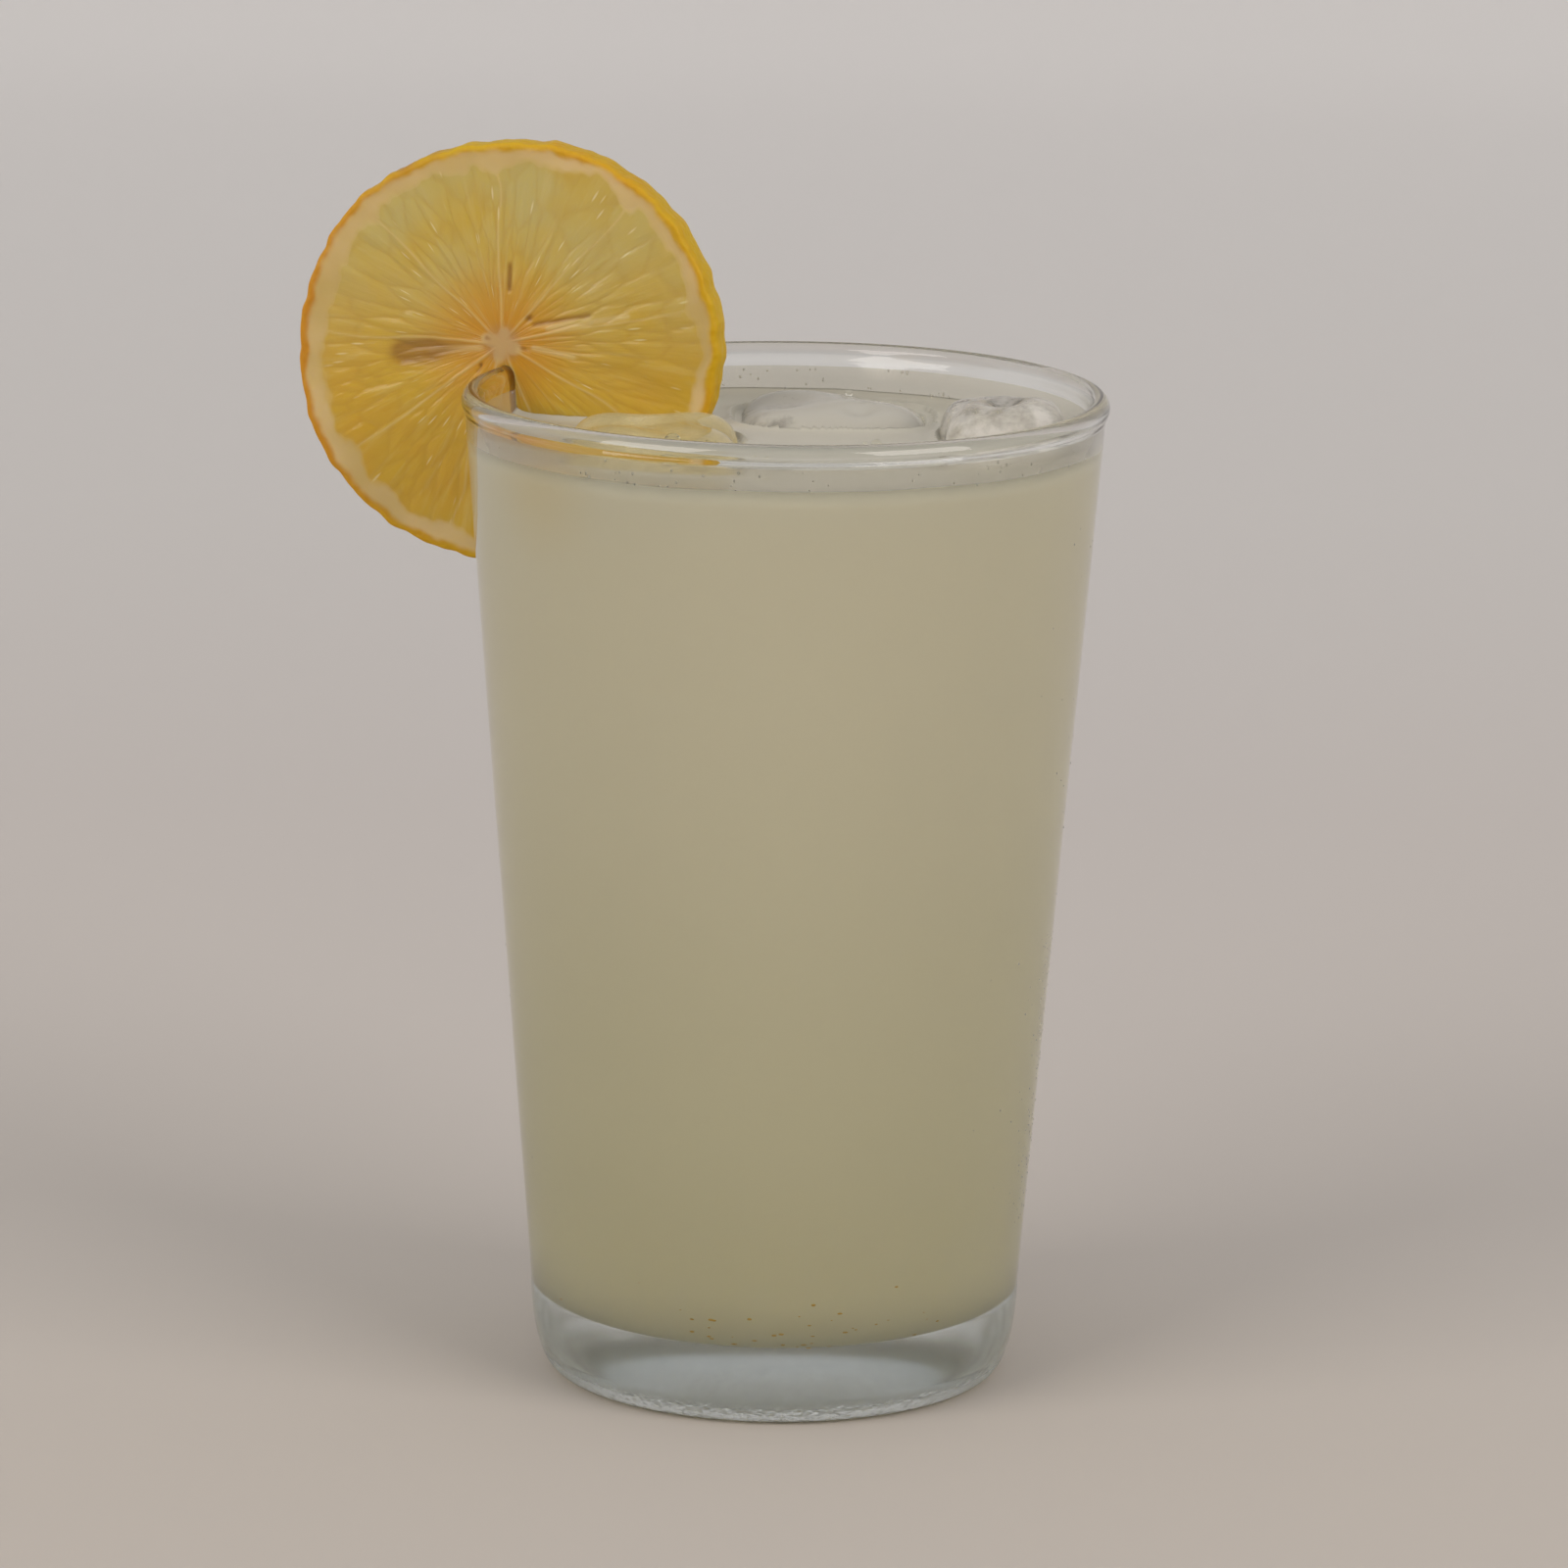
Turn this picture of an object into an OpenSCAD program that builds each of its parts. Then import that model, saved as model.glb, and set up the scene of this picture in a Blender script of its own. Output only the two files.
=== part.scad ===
// A tumbler of iced lemonade with a slice of lemon hung on its rim, in millimetres.
// The glass stands on z = 0 with its axis on the Z axis, and the slice hangs on the left of the rim.
// Everything that touches the glass takes its size from the two lines of the glass's wall.

/* [Glass] */
// Outer diameter of the rounded rim
rim_d = 86; // [76:1:104]
// Height of the glass
glass_h = 133.5; // [110:0.5:165]
// Outer diameter where the straight wall runs into the heel
heel_d = 66; // [54:1:72]
// Height of the rounded heel
heel_h = 12; // [8:0.5:16]
// Diameter of the ring the glass stands on
foot_d = 59; // [46:0.5:61]
// Wall thickness under the rim
wall_top_t = 2.2; // [1.6:0.1:3.2]
// Wall thickness at the heel
wall_low_t = 3.2; // [2.4:0.1:4.5]
// Thickness of the solid bottom
floor_t = 9.3; // [6:0.1:14]
// Radius of the corner between the inner wall and the inner floor
floor_corner_r = 9; // [4:0.5:14]
// How far the rim bead stands out from the wall
bead_out = 0.5; // [0.2:0.1:1.2]
// Height of the rim bead
bead_h = 3.2; // [2:0.1:5]
// Diameter of the shallow hollow under the bottom
hollow_d = 44; // [30:1:52]
// Depth of the shallow hollow under the bottom
hollow_deep = 0.8; // [0.3:0.1:2]

/* [Drink] */
// Distance from the rim down to the surface of the drink
drink_drop = 7.2; // [5.5:0.1:30]
// Gap between the drink and what it touches
drink_gap = 0.05; // [0.02:0.01:0.2]

/* [Lemon slice] */
// Mean diameter of the slice
slice_d = 58; // [48:0.5:70]
// How much the outline is longer and shorter than its mean radius
slice_oval = 0.8; // [0:0.1:2.5]
// Direction of the long axis of the outline
slice_oval_turn = 30; // [0:5:175]
// Thickness of the slice
slice_t = 5; // [3:0.5:8]
// Thickness of the rind with its white pith
rind_t = 4.2; // [3:0.1:7]
// Diameter of the white core
core_d = 5; // [3:0.5:8]
// Distance of the core from the middle of the outline, outwards and up
core_off = [-0.5, 1];
// Thickness of the skins between the segments
skin_t = 0.8; // [0.4:0.1:1.5]
// How far the juicy segments have sunk below their skins
segment_deep = 0.3; // [0.1:0.05:0.6]
// Direction of each skin around the core
skin_turns = [13, 49, 92, 138, 179, 217, 255, 293, 333];
// Place of the slice around the rim, from the right of the glass
slice_place = 152; // [120:1:170]
// Turn of the slice away from facing the front
slice_turn = 14; // [0:1:28]
// Height of the middle of the slice above the rim
slice_rise = 1.8; // [-4:0.1:8]
// Distance of the middle of the slice outwards from the wall
slice_out = 0.5; // [-6:0.1:6]
// Gap between the slit in the slice and the glass in it
slit_gap = 0.15; // [0.05:0.05:0.5]

/* [Ice] */
// Height of the blocks from bottom to top
ice_h = 20; // [12:0.5:30]
// How far the left block stands above the drink
ice_left_proud = 4.1; // [1:0.1:5]
// How far the middle block stands above the drink
ice_middle_proud = 2.8; // [1:0.1:5]
// How far the right block stands above the drink
ice_right_proud = 5.6; // [1:0.1:6]
// How square the melted blocks still are, from round to square
ice_square = 4.5; // [3:0.5:8]
// Least distance from a block to its neighbours
ice_apart = 1.5; // [0.5:0.1:4]
// Left, right and front sides of the left block, as shares of the radius of the room for ice
ice_left_plan = [-0.74, -0.16, -0.52];
// Front and back sides of the middle block, as shares of the same radius
ice_middle_plan = [0.26, 0.78];
// Left, right, front and back sides of the right block, as shares of the same radius
ice_right_plan = [0.56, 0.96, -0.13, 0.31];
// Turn of the left, middle and right block
ice_turns = [6, -4, 8];
// Lean of the left, middle and right block, to the front and to the right
ice_leans = [[0, 2], [1, 1.5], [4, 4]];

/* [Hidden] */
$fa = 4;
$fs = 0.4;
arc_steps = 10;
ice_steps = 28;
outline_steps = 72;
over = 1;
// how far the outer corners of a segment are pulled in, as a share of its length
corner_pull = 0.07;

// the two lines of the wall: outer and inner radius at height z
wall_top_z = glass_h - bead_h;
wall_top_r = rim_d / 2 - bead_out;
wall_slope = (wall_top_r - heel_d / 2) / (wall_top_z - heel_h);
thin_slope = (wall_low_t - wall_top_t) / (wall_top_z - heel_h);
function outer_r(z) = heel_d / 2 + wall_slope * (z - heel_h);
function inner_r(z) = outer_r(z) - wall_low_t + thin_slope * (z - heel_h);

// the rim bead is an oval ring from the wall's inner line to the bead's outer edge
bead_in_r = inner_r(wall_top_z);
bead_mid_r = (bead_in_r + rim_d / 2) / 2;
bead_half_t = rim_d / 2 - bead_mid_r;

drink_z = glass_h - drink_drop;

// where the slice sits on the rim, its inner end, and the line of its front face seen from above
slice_seat = bead_mid_r * [cos(slice_place), sin(slice_place)];
slice_end_x = slice_seat[0] + (slice_d / 2 + slice_oval - slice_out) * cos(slice_turn);
function slice_front_y(x) =
    slice_seat[1] - (x - slice_seat[0]) * tan(slice_turn) - slice_t / 2 / cos(slice_turn);

// the blocks share the round room for ice inside the glass, as wide as at their undersides
ice_room = inner_r(drink_z - ice_h);
ice_right_x = ice_right_plan[0] * ice_room;
// how far the outlines from the front and side reach past the one from above
ice_side_bulge = 1;
ice_top_bulge = 0.4;

// points of an oval arc from angle a to angle b
function oval_arc(cx, cz, rx, rz, a, b) =
    [for (i = [0 : arc_steps]) let (t = a + (b - a) * i / arc_steps)
        [cx + rx * cos(t), cz + rz * sin(t)]];

// centre of the inner floor corner, which touches the floor and the sloping inner wall
inner_slope = wall_slope + thin_slope;
inner_lean = atan(inner_slope);
corner_z = floor_t + floor_corner_r;
corner_x = inner_r(corner_z) - floor_corner_r / cos(inner_lean);

// inside of the glass from its axis, across the floor and up the wall to height z
function inside(z) = concat(
    [[0, floor_t]],
    oval_arc(corner_x, corner_z, floor_corner_r, floor_corner_r, -90, -inner_lean),
    [[inner_r(z), z]]);

function reversed(points) = [for (i = [len(points) - 1 : -1 : 0]) points[i]];

module glass_profile() {
    polygon(concat(
        [[0, hollow_deep], [hollow_d / 2 - 2 * hollow_deep, hollow_deep], [hollow_d / 2, 0]],
        oval_arc(foot_d / 2, heel_h, (heel_d - foot_d) / 2, heel_h, -90, 0),
        [[outer_r(wall_top_z), wall_top_z]],
        oval_arc(bead_mid_r, glass_h - bead_h / 2, bead_half_t, bead_h / 2, -30, 180),
        reversed(inside(wall_top_z))));
}

module glass() {
    color([0.80, 0.86, 0.84, 0.35])
    rotate_extrude()
    glass_profile();
}

// half plane of the drink: the glass's inside moved in by the gap, cut at the surface
module drink_profile() {
    below = floor_t + drink_gap;
    intersection() {
        translate([-drink_gap, 0]) polygon(concat(inside(drink_z + over), [[0, drink_z + over]]));
        translate([0, below]) square([rim_d, drink_z - below]);
    }
}

module lemonade() {
    color([0.68, 0.64, 0.52])
    difference() {
        rotate_extrude() drink_profile();
        ice_left_block(drink_gap);
        ice_middle_block(drink_gap);
        ice_right_block(drink_gap);
        slice_place() slice_disc(slice_t + 2 * drink_gap, drink_gap);
    }
}

// radius of the slice's outline in direction a
function slice_r(a) = slice_d / 2 + slice_oval * cos(2 * (a - slice_oval_turn));

module slice_disc(thick, grow) {
    translate([0, 0, -thick / 2])
    linear_extrude(thick)
    polygon([for (i = [0 : outline_steps - 1]) let (a = 360 * i / outline_steps)
        (slice_r(a) + grow) * [cos(a), sin(a)]]);
}

// one segment between two skins: a wedge with its point at the core and round outer corners
module segment(from, to) {
    middle = (from + to) / 2;
    half = (to - from) / 2 - asin(skin_t / 2 / (slice_d / 4));
    tip = core_d / 2;
    polygon(concat(
        [tip * [cos(middle), sin(middle)]],
        [for (i = [0 : arc_steps]) let (s = 2 * i / arc_steps - 1, a = middle + half * s)
            (slice_r(a) - rind_t - core_off * [cos(a), sin(a)])
            * (1 - corner_pull * pow(abs(s), 6)) * [cos(a), sin(a)]]));
}

module segments() {
    count = len(skin_turns);
    translate(core_off)
    for (i = [0 : count - 1])
        segment(skin_turns[i], i < count - 1 ? skin_turns[i + 1] : skin_turns[0] + 360);
}

// from the slice lying flat at the origin to the slice hanging on the rim
module slice_place() {
    translate([slice_seat[0], slice_seat[1], glass_h + slice_rise])
    rotate([0, 0, -slice_turn])
    translate([-slice_out, 0, 0])
    rotate([90, 0, 0])
    children();
}

// the slit closes round the wall and the bead, so it is their shape grown by its gap
module slit() {
    low = glass_h - slice_d;
    bead_low = wall_top_z - slit_gap;
    rotate_extrude()
    polygon(concat(
        [[inner_r(low) - slit_gap, low], [outer_r(low) + slit_gap, low]],
        [[outer_r(bead_low) + slit_gap, bead_low]],
        oval_arc(bead_mid_r, glass_h - bead_h / 2, bead_half_t + slit_gap, bead_h / 2 + slit_gap, -30, 180),
        [[bead_in_r - slit_gap, bead_low]]));
}

module lemon_slice() {
    color([0.93, 0.76, 0.25])
    difference() {
        slice_place()
        difference() {
            slice_disc(slice_t, 0);
            for (side = [-1, 1])
                translate([0, 0, side * (slice_t / 2 - segment_deep / 2) - segment_deep / 2])
                linear_extrude(segment_deep)
                segments();
        }
        slit();
    }
}

// a rectangle with melted corners: |x / a| and |y / b|, each to the power of ice_square, add up to 1
function melted_rectangle(a, b) =
    [for (i = [0 : ice_steps - 1]) let (t = 360 * (i + 0.5) / ice_steps)
        [a * sign(cos(t)) * pow(abs(cos(t)), 2 / ice_square),
         b * sign(sin(t)) * pow(abs(sin(t)), 2 / ice_square)]];

// a block of ice, centred on the origin: what the melted outlines from above, front and side share
module ice_block(size) {
    half = size / 2;
    intersection() {
        linear_extrude(2 * size[2], center = true)
        polygon(melted_rectangle(half[0], half[1]));
        rotate([90, 0, 0])
        linear_extrude(2 * size[1], center = true)
        polygon(melted_rectangle(half[0] + ice_side_bulge, half[2]));
        rotate([90, 0, 90])
        linear_extrude(2 * size[0], center = true)
        polygon(melted_rectangle(half[1] + ice_side_bulge, half[2] + ice_top_bulge));
    }
}

// a block over the floor plan x0..x1 by y0..y1, its top at a height above the drink, turned and leaning
module floating(x0, x1, y0, y1, proud, turn, lean, grow) {
    translate([(x0 + x1) / 2, (y0 + y1) / 2, drink_z + proud - ice_h / 2])
    rotate([lean[0], lean[1], turn])
    ice_block([x1 - x0, y1 - y0, ice_h] + 2 * grow * [1, 1, 1]);
}

// the left block lies in front of the slice
module ice_left_block(grow) {
    plan = ice_left_plan * ice_room;
    floating(plan[0], plan[1], plan[2], slice_front_y(plan[1]) - ice_apart,
        ice_left_proud, ice_turns[0], ice_leans[0], grow);
}

// the middle block lies between the inner end of the slice and the right block
module ice_middle_block(grow) {
    plan = ice_middle_plan * ice_room;
    floating(slice_end_x + ice_apart, ice_right_x - ice_apart, plan[0], plan[1],
        ice_middle_proud, ice_turns[1], ice_leans[1], grow);
}

// the right block lies near the wall, and leans with it
module ice_right_block(grow) {
    plan = ice_right_plan * ice_room;
    floating(plan[0], plan[1], plan[2], plan[3],
        ice_right_proud, ice_turns[2], ice_leans[2], grow);
}

module ice_left() {
    color([0.86, 0.88, 0.86, 0.6]) ice_left_block(0);
}

module ice_middle() {
    color([0.84, 0.86, 0.84, 0.6]) ice_middle_block(0);
}

module ice_right() {
    color([0.88, 0.89, 0.88, 0.6]) ice_right_block(0);
}

glass();
lemonade();
lemon_slice();
ice_left();
ice_middle();
ice_right();
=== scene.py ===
# %% [markdown]
# # A tumbler of iced lemonade
# The real object is a pressed glass tumbler, filled to just under its rim with cloudy lemonade.
# Three melting blocks of ice float in it, and a slice of lemon is pushed onto the rim by a slit.
# The measured solids come in as a fixed frame. Each visible piece below is a finer surface that
# takes its place from that frame, and stands for one of its solids.

# %% Load the frame
import math

import bmesh
import bpy
import numpy as np
from mathutils import Matrix, Vector


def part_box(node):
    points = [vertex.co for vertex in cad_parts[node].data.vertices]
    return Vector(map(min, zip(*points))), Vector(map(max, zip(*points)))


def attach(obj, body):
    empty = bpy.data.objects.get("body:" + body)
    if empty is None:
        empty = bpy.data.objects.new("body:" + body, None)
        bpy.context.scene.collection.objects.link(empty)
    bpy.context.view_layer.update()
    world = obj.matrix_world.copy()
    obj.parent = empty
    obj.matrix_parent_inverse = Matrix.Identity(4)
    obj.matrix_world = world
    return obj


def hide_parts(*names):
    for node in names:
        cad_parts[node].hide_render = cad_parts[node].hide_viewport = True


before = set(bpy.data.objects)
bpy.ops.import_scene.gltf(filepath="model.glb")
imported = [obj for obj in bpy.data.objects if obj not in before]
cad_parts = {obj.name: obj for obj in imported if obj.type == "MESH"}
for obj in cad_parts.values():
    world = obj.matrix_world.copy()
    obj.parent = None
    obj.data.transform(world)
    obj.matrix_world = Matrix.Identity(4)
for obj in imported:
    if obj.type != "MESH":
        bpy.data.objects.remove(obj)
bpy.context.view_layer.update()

scene = bpy.context.scene
MM = 0.001
print("nodes in the frame:", sorted(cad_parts))

# %% [markdown]
# ## Sizes
# The frame gives the outer sizes in metres. All shapes below are worked out in millimetres, and
# turn to metres when they become meshes. The wall of the glass is two straight lines, so its
# radius at any height is one formula, and everything that touches the glass uses it.


# %% Sizes from the frame
def span(node_name):
    """Lowest and highest corner of a solid of the frame, in millimetres."""
    low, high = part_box(node_name)
    return np.array(low) / MM, np.array(high) / MM


_, glass_high = span("glass")
drink_low, drink_high = span("lemonade")
slice_low, slice_high = span("lemon_slice")

RIM_R = glass_high[0]
HEIGHT = glass_high[2]
LEVEL = drink_high[2]
FLOOR = drink_low[2]
# the box doesn't give the heel, the wall, the bead, the inner corner and the hollow underneath
HEEL_R, HEEL_H, FOOT_R = 33.0, 12.0, 29.5
WALL_TOP, WALL_LOW = 2.2, 3.2
BEAD_OUT, BEAD_H = 0.5, 3.2
CORNER_R = 9.0
HOLLOW_R, HOLLOW_DEEP = 22.0, 0.8

WALL_TOP_Z = HEIGHT - BEAD_H
WALL_TOP_R = RIM_R - BEAD_OUT
WALL_SLOPE = (WALL_TOP_R - HEEL_R) / (WALL_TOP_Z - HEEL_H)
THIN_SLOPE = (WALL_LOW - WALL_TOP) / (WALL_TOP_Z - HEEL_H)


def outer_r(z):
    """Radius of the outer wall: a straight line in the height z."""
    return HEEL_R + WALL_SLOPE * (z - HEEL_H)


def inner_r(z):
    """Radius of the inner wall: the outer line less a thickness that thins evenly upwards."""
    return outer_r(z) - WALL_LOW + THIN_SLOPE * (z - HEEL_H)


CORNER_LEAN = math.degrees(math.atan(WALL_SLOPE + THIN_SLOPE))
CORNER_Z = FLOOR + CORNER_R
CORNER_X = inner_r(CORNER_Z) - CORNER_R / math.cos(math.radians(CORNER_LEAN))
print(f"glass {2 * RIM_R:.1f} mm wide and {HEIGHT:.1f} mm high, filled to {LEVEL:.1f} mm")

# %% [markdown]
# ## From formulas to meshes
# A surface is a grid of points, with rows in one direction and columns in the other. Neighbouring
# points make four-sided faces. A closed piece is one or more grids whose edges meet: its double
# points are merged, which also closes the poles, and then its faces are turned outwards.


# %% Helpers for shapes
def grid_faces(rows, columns, round_trip):
    """Corners of the faces between neighbouring points; round_trip joins the last column to the first."""
    across = columns if round_trip else columns - 1
    row, column = np.meshgrid(np.arange(rows - 1), np.arange(across), indexing="ij")
    beside = (column + 1) % columns
    corners = [row * columns + column, row * columns + beside]
    corners += [corner + columns for corner in reversed(corners)]
    return np.stack(corners, -1).reshape(-1, 4)


def closed_mesh(name, points, faces, weld):
    """A mesh of points in mm and their faces. Points nearer than weld, in mm, become one, and the
    faces are turned outwards."""
    mesh = bpy.data.meshes.new(name)
    mesh.from_pydata((points * MM).tolist(), [], faces.tolist())
    shape = bmesh.new()
    shape.from_mesh(mesh)
    bmesh.ops.remove_doubles(shape, verts=shape.verts, dist=weld * MM)
    bmesh.ops.recalc_face_normals(shape, faces=shape.faces)
    shape.to_mesh(mesh)
    shape.free()
    mesh.shade_smooth()
    return mesh


def mesh_of(name, grids, round_trip=True):
    """One closed mesh of the grids of points, which are arrays of rows, columns and 3 numbers in mm."""
    points, faces, start = [], [], 0
    for grid in grids:
        points.append(grid.reshape(-1, 3))
        faces.append(grid_faces(*grid.shape[:2], round_trip) + start)
        start += grid.shape[0] * grid.shape[1]
    return closed_mesh(name, np.concatenate(points), np.concatenate(faces), weld=0.004)


def points_of(mesh):
    """The mesh's points as an array, in millimetres."""
    points = np.empty(len(mesh.vertices) * 3, np.float32)
    mesh.vertices.foreach_get("co", points)
    return points.reshape(-1, 3).astype(float) / MM


def centres_of(mesh):
    """The middles of the mesh's faces, in millimetres."""
    centres = np.empty(len(mesh.polygons) * 3, np.float32)
    mesh.polygons.foreach_get("center", centres)
    return centres.reshape(-1, 3) / MM


def show(mesh, materials, node_name=None):
    """Makes an object of the mesh, with its materials, that rides on the frame. It takes the place
    of the solid node_name, if there is one."""
    thing = bpy.data.objects.new(mesh.name, mesh)
    scene.collection.objects.link(thing)
    for material in materials:
        mesh.materials.append(material)
    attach(thing, "root")
    if node_name:
        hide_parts(node_name)
    mesh.calc_loop_triangles()
    print(f"{mesh.name}: {len(mesh.loop_triangles)} triangles")


# %% Helpers for profiles
def line(start, end, count):
    """Evenly spaced points on a straight line."""
    return np.linspace(start, end, count)


def arc(middle_x, middle_z, radius_x, radius_z, start, end, count):
    """Points of an oval arc: the middle plus each radius times the cosine or sine of the angle."""
    turn = np.radians(np.linspace(start, end, count))
    return np.stack([middle_x + radius_x * np.cos(turn), middle_z + radius_z * np.sin(turn)], -1)


def revolve(profile, columns):
    """Each point of the profile, a radius and a height, carried round the Z axis in equal steps."""
    turn = np.linspace(0, 2 * np.pi, columns, endpoint=False)
    radius, height = profile[:, None, 0], profile[:, None, 1]
    return np.stack(np.broadcast_arrays(radius * np.cos(turn), radius * np.sin(turn), height), -1)


def lumps(points, size, seed, waves=9):
    """Soft unevenness, mostly from -1 to 1: the sum of sine waves that run in random directions
    through space, each about size millimetres long, over the root of their number."""
    random = np.random.default_rng(seed)
    ways = random.normal(size=(waves, 3))
    ways /= np.linalg.norm(ways, axis=1, keepdims=True)
    lengths = size * random.uniform(0.7, 1.5, waves)
    phases = random.uniform(0, 2 * np.pi, waves)
    return np.sin(points @ (ways.T * 2 * np.pi / lengths) + phases).sum(-1) / math.sqrt(waves)


def smooth_step(value, start, end):
    """0 before start, 1 after end, and an S-shaped curve between them."""
    share = np.clip((value - start) / (end - start), 0, 1)
    return share * share * (3 - 2 * share)


# %% [markdown]
# ## From real materials to shaders
# Each finish is a small tree of nodes on a Principled shader. Colours are written as sRGB hex
# values, as a colour picker shows them, and turned to the linear values that shaders use.


# %% Helpers for materials
def linear(colour):
    """Linear red, green, blue and an alpha of 1 from an sRGB hex colour."""
    srgb = np.array([int(colour[i:i + 2], 16) for i in (0, 2, 4)]) / 255
    bent = np.where(srgb <= 0.04045, srgb / 12.92, ((srgb + 0.055) / 1.055) ** 2.4)
    return (*bent.tolist(), 1.0)


def node(tree, kind, inputs=(), stops=(), **settings):
    """Adds a node. inputs pairs a socket's name or number with a value, or with the output that
    feeds it, and stops pairs places on a colour ramp with colours."""
    made = tree.nodes.new("ShaderNode" + kind)
    for field, value in settings.items():
        setattr(made, field, value)
    for socket, value in dict(inputs).items():
        if isinstance(value, bpy.types.NodeSocket):
            tree.links.new(value, made.inputs[socket])
        else:
            made.inputs[socket].default_value = value
    for number, (place, colour) in enumerate(stops):
        ramp = made.color_ramp.elements
        stop = ramp[number] if number < 2 else ramp.new(place)
        stop.position, stop.color = place, colour
    return made


def new_material(name):
    """A material with an empty tree of nodes, and that tree."""
    material = bpy.data.materials.new(name)
    material.use_nodes = True
    material.node_tree.nodes.clear()
    return material, material.node_tree


def paint(tree, colour, layers):
    """Lays colours over one another. A layer is the output that sets its share, the two values
    between which the share grows from nothing to its most, that most, and the colour."""
    for source, start, end, most, tint in layers:
        share = node(tree, "MapRange", {0: source, 1: start, 2: end, 4: most},
                     interpolation_type="SMOOTHSTEP")
        colour = node(tree, "Mix", {0: share.outputs[0], 6: colour, 7: tint}, data_type="RGBA").outputs[2]
    return colour


def finish_material(tree, surface):
    """Links the shader to the material's output."""
    node(tree, "OutputMaterial", {"Surface": surface.outputs[0]})


# %% [markdown]
# ## The camera and the light
# The object stands on pale paper that curves up far behind it. Two large soft lights stand in
# front, one on each side, and the pale room lights it from above and behind. A long lens looks
# down on it a little. The room behind the camera is dark, which draws the dark edges in the glass;
# on the bead a painted shade darkens them further.

# %% The camera
CAMERA_Y, CAMERA_Z = -1.0, 0.300538
PITCH, YAW, ROLL = math.radians(12.4374), math.radians(0.0261), math.radians(0.7569)
lens = bpy.data.cameras.new("camera")
lens.sensor_width, lens.lens = 36.0, 175.482
lens.clip_start, lens.clip_end = 0.05, 20.0
camera = bpy.data.objects.new("camera", lens)
scene.collection.objects.link(camera)
aim = Matrix.Rotation(-YAW, 4, "Z") @ Matrix.Rotation(math.pi / 2 - PITCH, 4, "X")
camera.matrix_world = Matrix.Translation((0, CAMERA_Y, CAMERA_Z)) @ aim @ Matrix.Rotation(ROLL, 4, "Z")
scene.camera = camera
scene.view_settings.view_transform = "Standard"
print(f"camera {-CAMERA_Y:.2f} m in front, lens {lens.lens:.0f} mm")

# %% The lamps
# each has its place, its size in metres, its power in watts and its colour
LAMPS = {
    "front_left": ((-1.28, -1.06, 0.95), 1.20, 17.4, "fff8f2"),
    "front_right": ((1.28, -1.06, 0.95), 1.20, 17.8, "fff8f4"),
}
LAMP_AIM = Vector((0, 0, 0.07))
for lamp_name, (place, size, power, colour) in LAMPS.items():
    lamp = bpy.data.lights.new(lamp_name, "AREA")
    lamp.size, lamp.energy = size, power
    lamp.color = linear(colour)[:3]
    stand = bpy.data.objects.new(lamp_name, lamp)
    scene.collection.objects.link(stand)
    stand.location = place
    stand.rotation_mode = "QUATERNION"
    stand.rotation_quaternion = (LAMP_AIM - Vector(place)).to_track_quat("-Z", "Y")
print("lamps:", ", ".join(LAMPS))

# %% The room
# a direction's Z says how high it points, and its Y how far away from the camera
SKY_LOW, SKY_HIGH = -0.05, 0.75
DIM_FROM, DIM_TO, DIM_LEAST = -0.9, 0.1, 0.06
OVERHEAD_FROM, OVERHEAD_TO = 0.30, 0.75
world = bpy.data.worlds.new("studio_room")
scene.world = world
world.use_nodes = True
room = world.node_tree
room.nodes.clear()
direction = node(room, "SeparateXYZ", {0: node(room, "TexCoord").outputs["Generated"]})
height_share = node(room, "MapRange", {0: direction.outputs[2], 1: SKY_LOW, 2: SKY_HIGH},
                    interpolation_type="SMOOTHSTEP")
sky = node(room, "ValToRGB", {0: height_share.outputs[0]}, [
    (0.0, linear("c1bfbc")), (0.35, linear("c6c6c5")), (1.0, linear("c4c6ca"))])
camera_side = node(room, "MapRange", {0: direction.outputs[1], 1: DIM_FROM, 2: DIM_TO, 3: DIM_LEAST},
                   interpolation_type="SMOOTHSTEP")
overhead = node(room, "MapRange", {0: direction.outputs[2], 1: OVERHEAD_FROM, 2: OVERHEAD_TO},
                interpolation_type="SMOOTHSTEP")
dimming = node(room, "Math", {0: camera_side.outputs[0], 1: overhead.outputs[0]}, operation="MAXIMUM")
glow = node(room, "Background", {"Color": sky.outputs[0], "Strength": dimming.outputs[0]})
node(room, "OutputWorld", {"Surface": glow.outputs[0]})
print("room: pale above, dim behind the camera")

# %% [markdown]
# ### Paper sweep
# Matt paper, rolled out flat under the object and up into a wall far behind it, so that no edge
# shows. Its colour is painted warmer and darker near the camera and lighter towards the back wall:
# a painted shade for how the light falls across it.

# %% The sweep and its paper
# all in metres: half the width, the front edge, where the bend starts, its radius, and the top edge
SWEEP_SIDE, SWEEP_FRONT, SWEEP_BACK, SWEEP_R, SWEEP_TOP = 3.0, -3.0, 1.3, 0.6, 1.8
FALLOFF_NEAR, FALLOFF_FAR = -0.1, 1.4
# the paper gives a little under the glass, and no face of it lies in the same plane as the foot
PAPER_Z = -0.0003
bend = arc(SWEEP_BACK, SWEEP_R + PAPER_Z, SWEEP_R, SWEEP_R, -90, 0, 24)
WALL_Y = SWEEP_BACK + SWEEP_R
sweep_line = np.concatenate([line((SWEEP_FRONT, PAPER_Z), (SWEEP_BACK, PAPER_Z), 30), bend[1:],
                             line((WALL_Y, SWEEP_R), (WALL_Y, SWEEP_TOP), 8)[1:]])
across = np.linspace(-SWEEP_SIDE, SWEEP_SIDE, 21)
sweep_grid = np.stack(np.broadcast_arrays(
    across[None, :], sweep_line[:, None, 0], sweep_line[:, None, 1]), -1)
sweep_mesh = mesh_of("paper_sweep", [sweep_grid / MM], round_trip=False)

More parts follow.
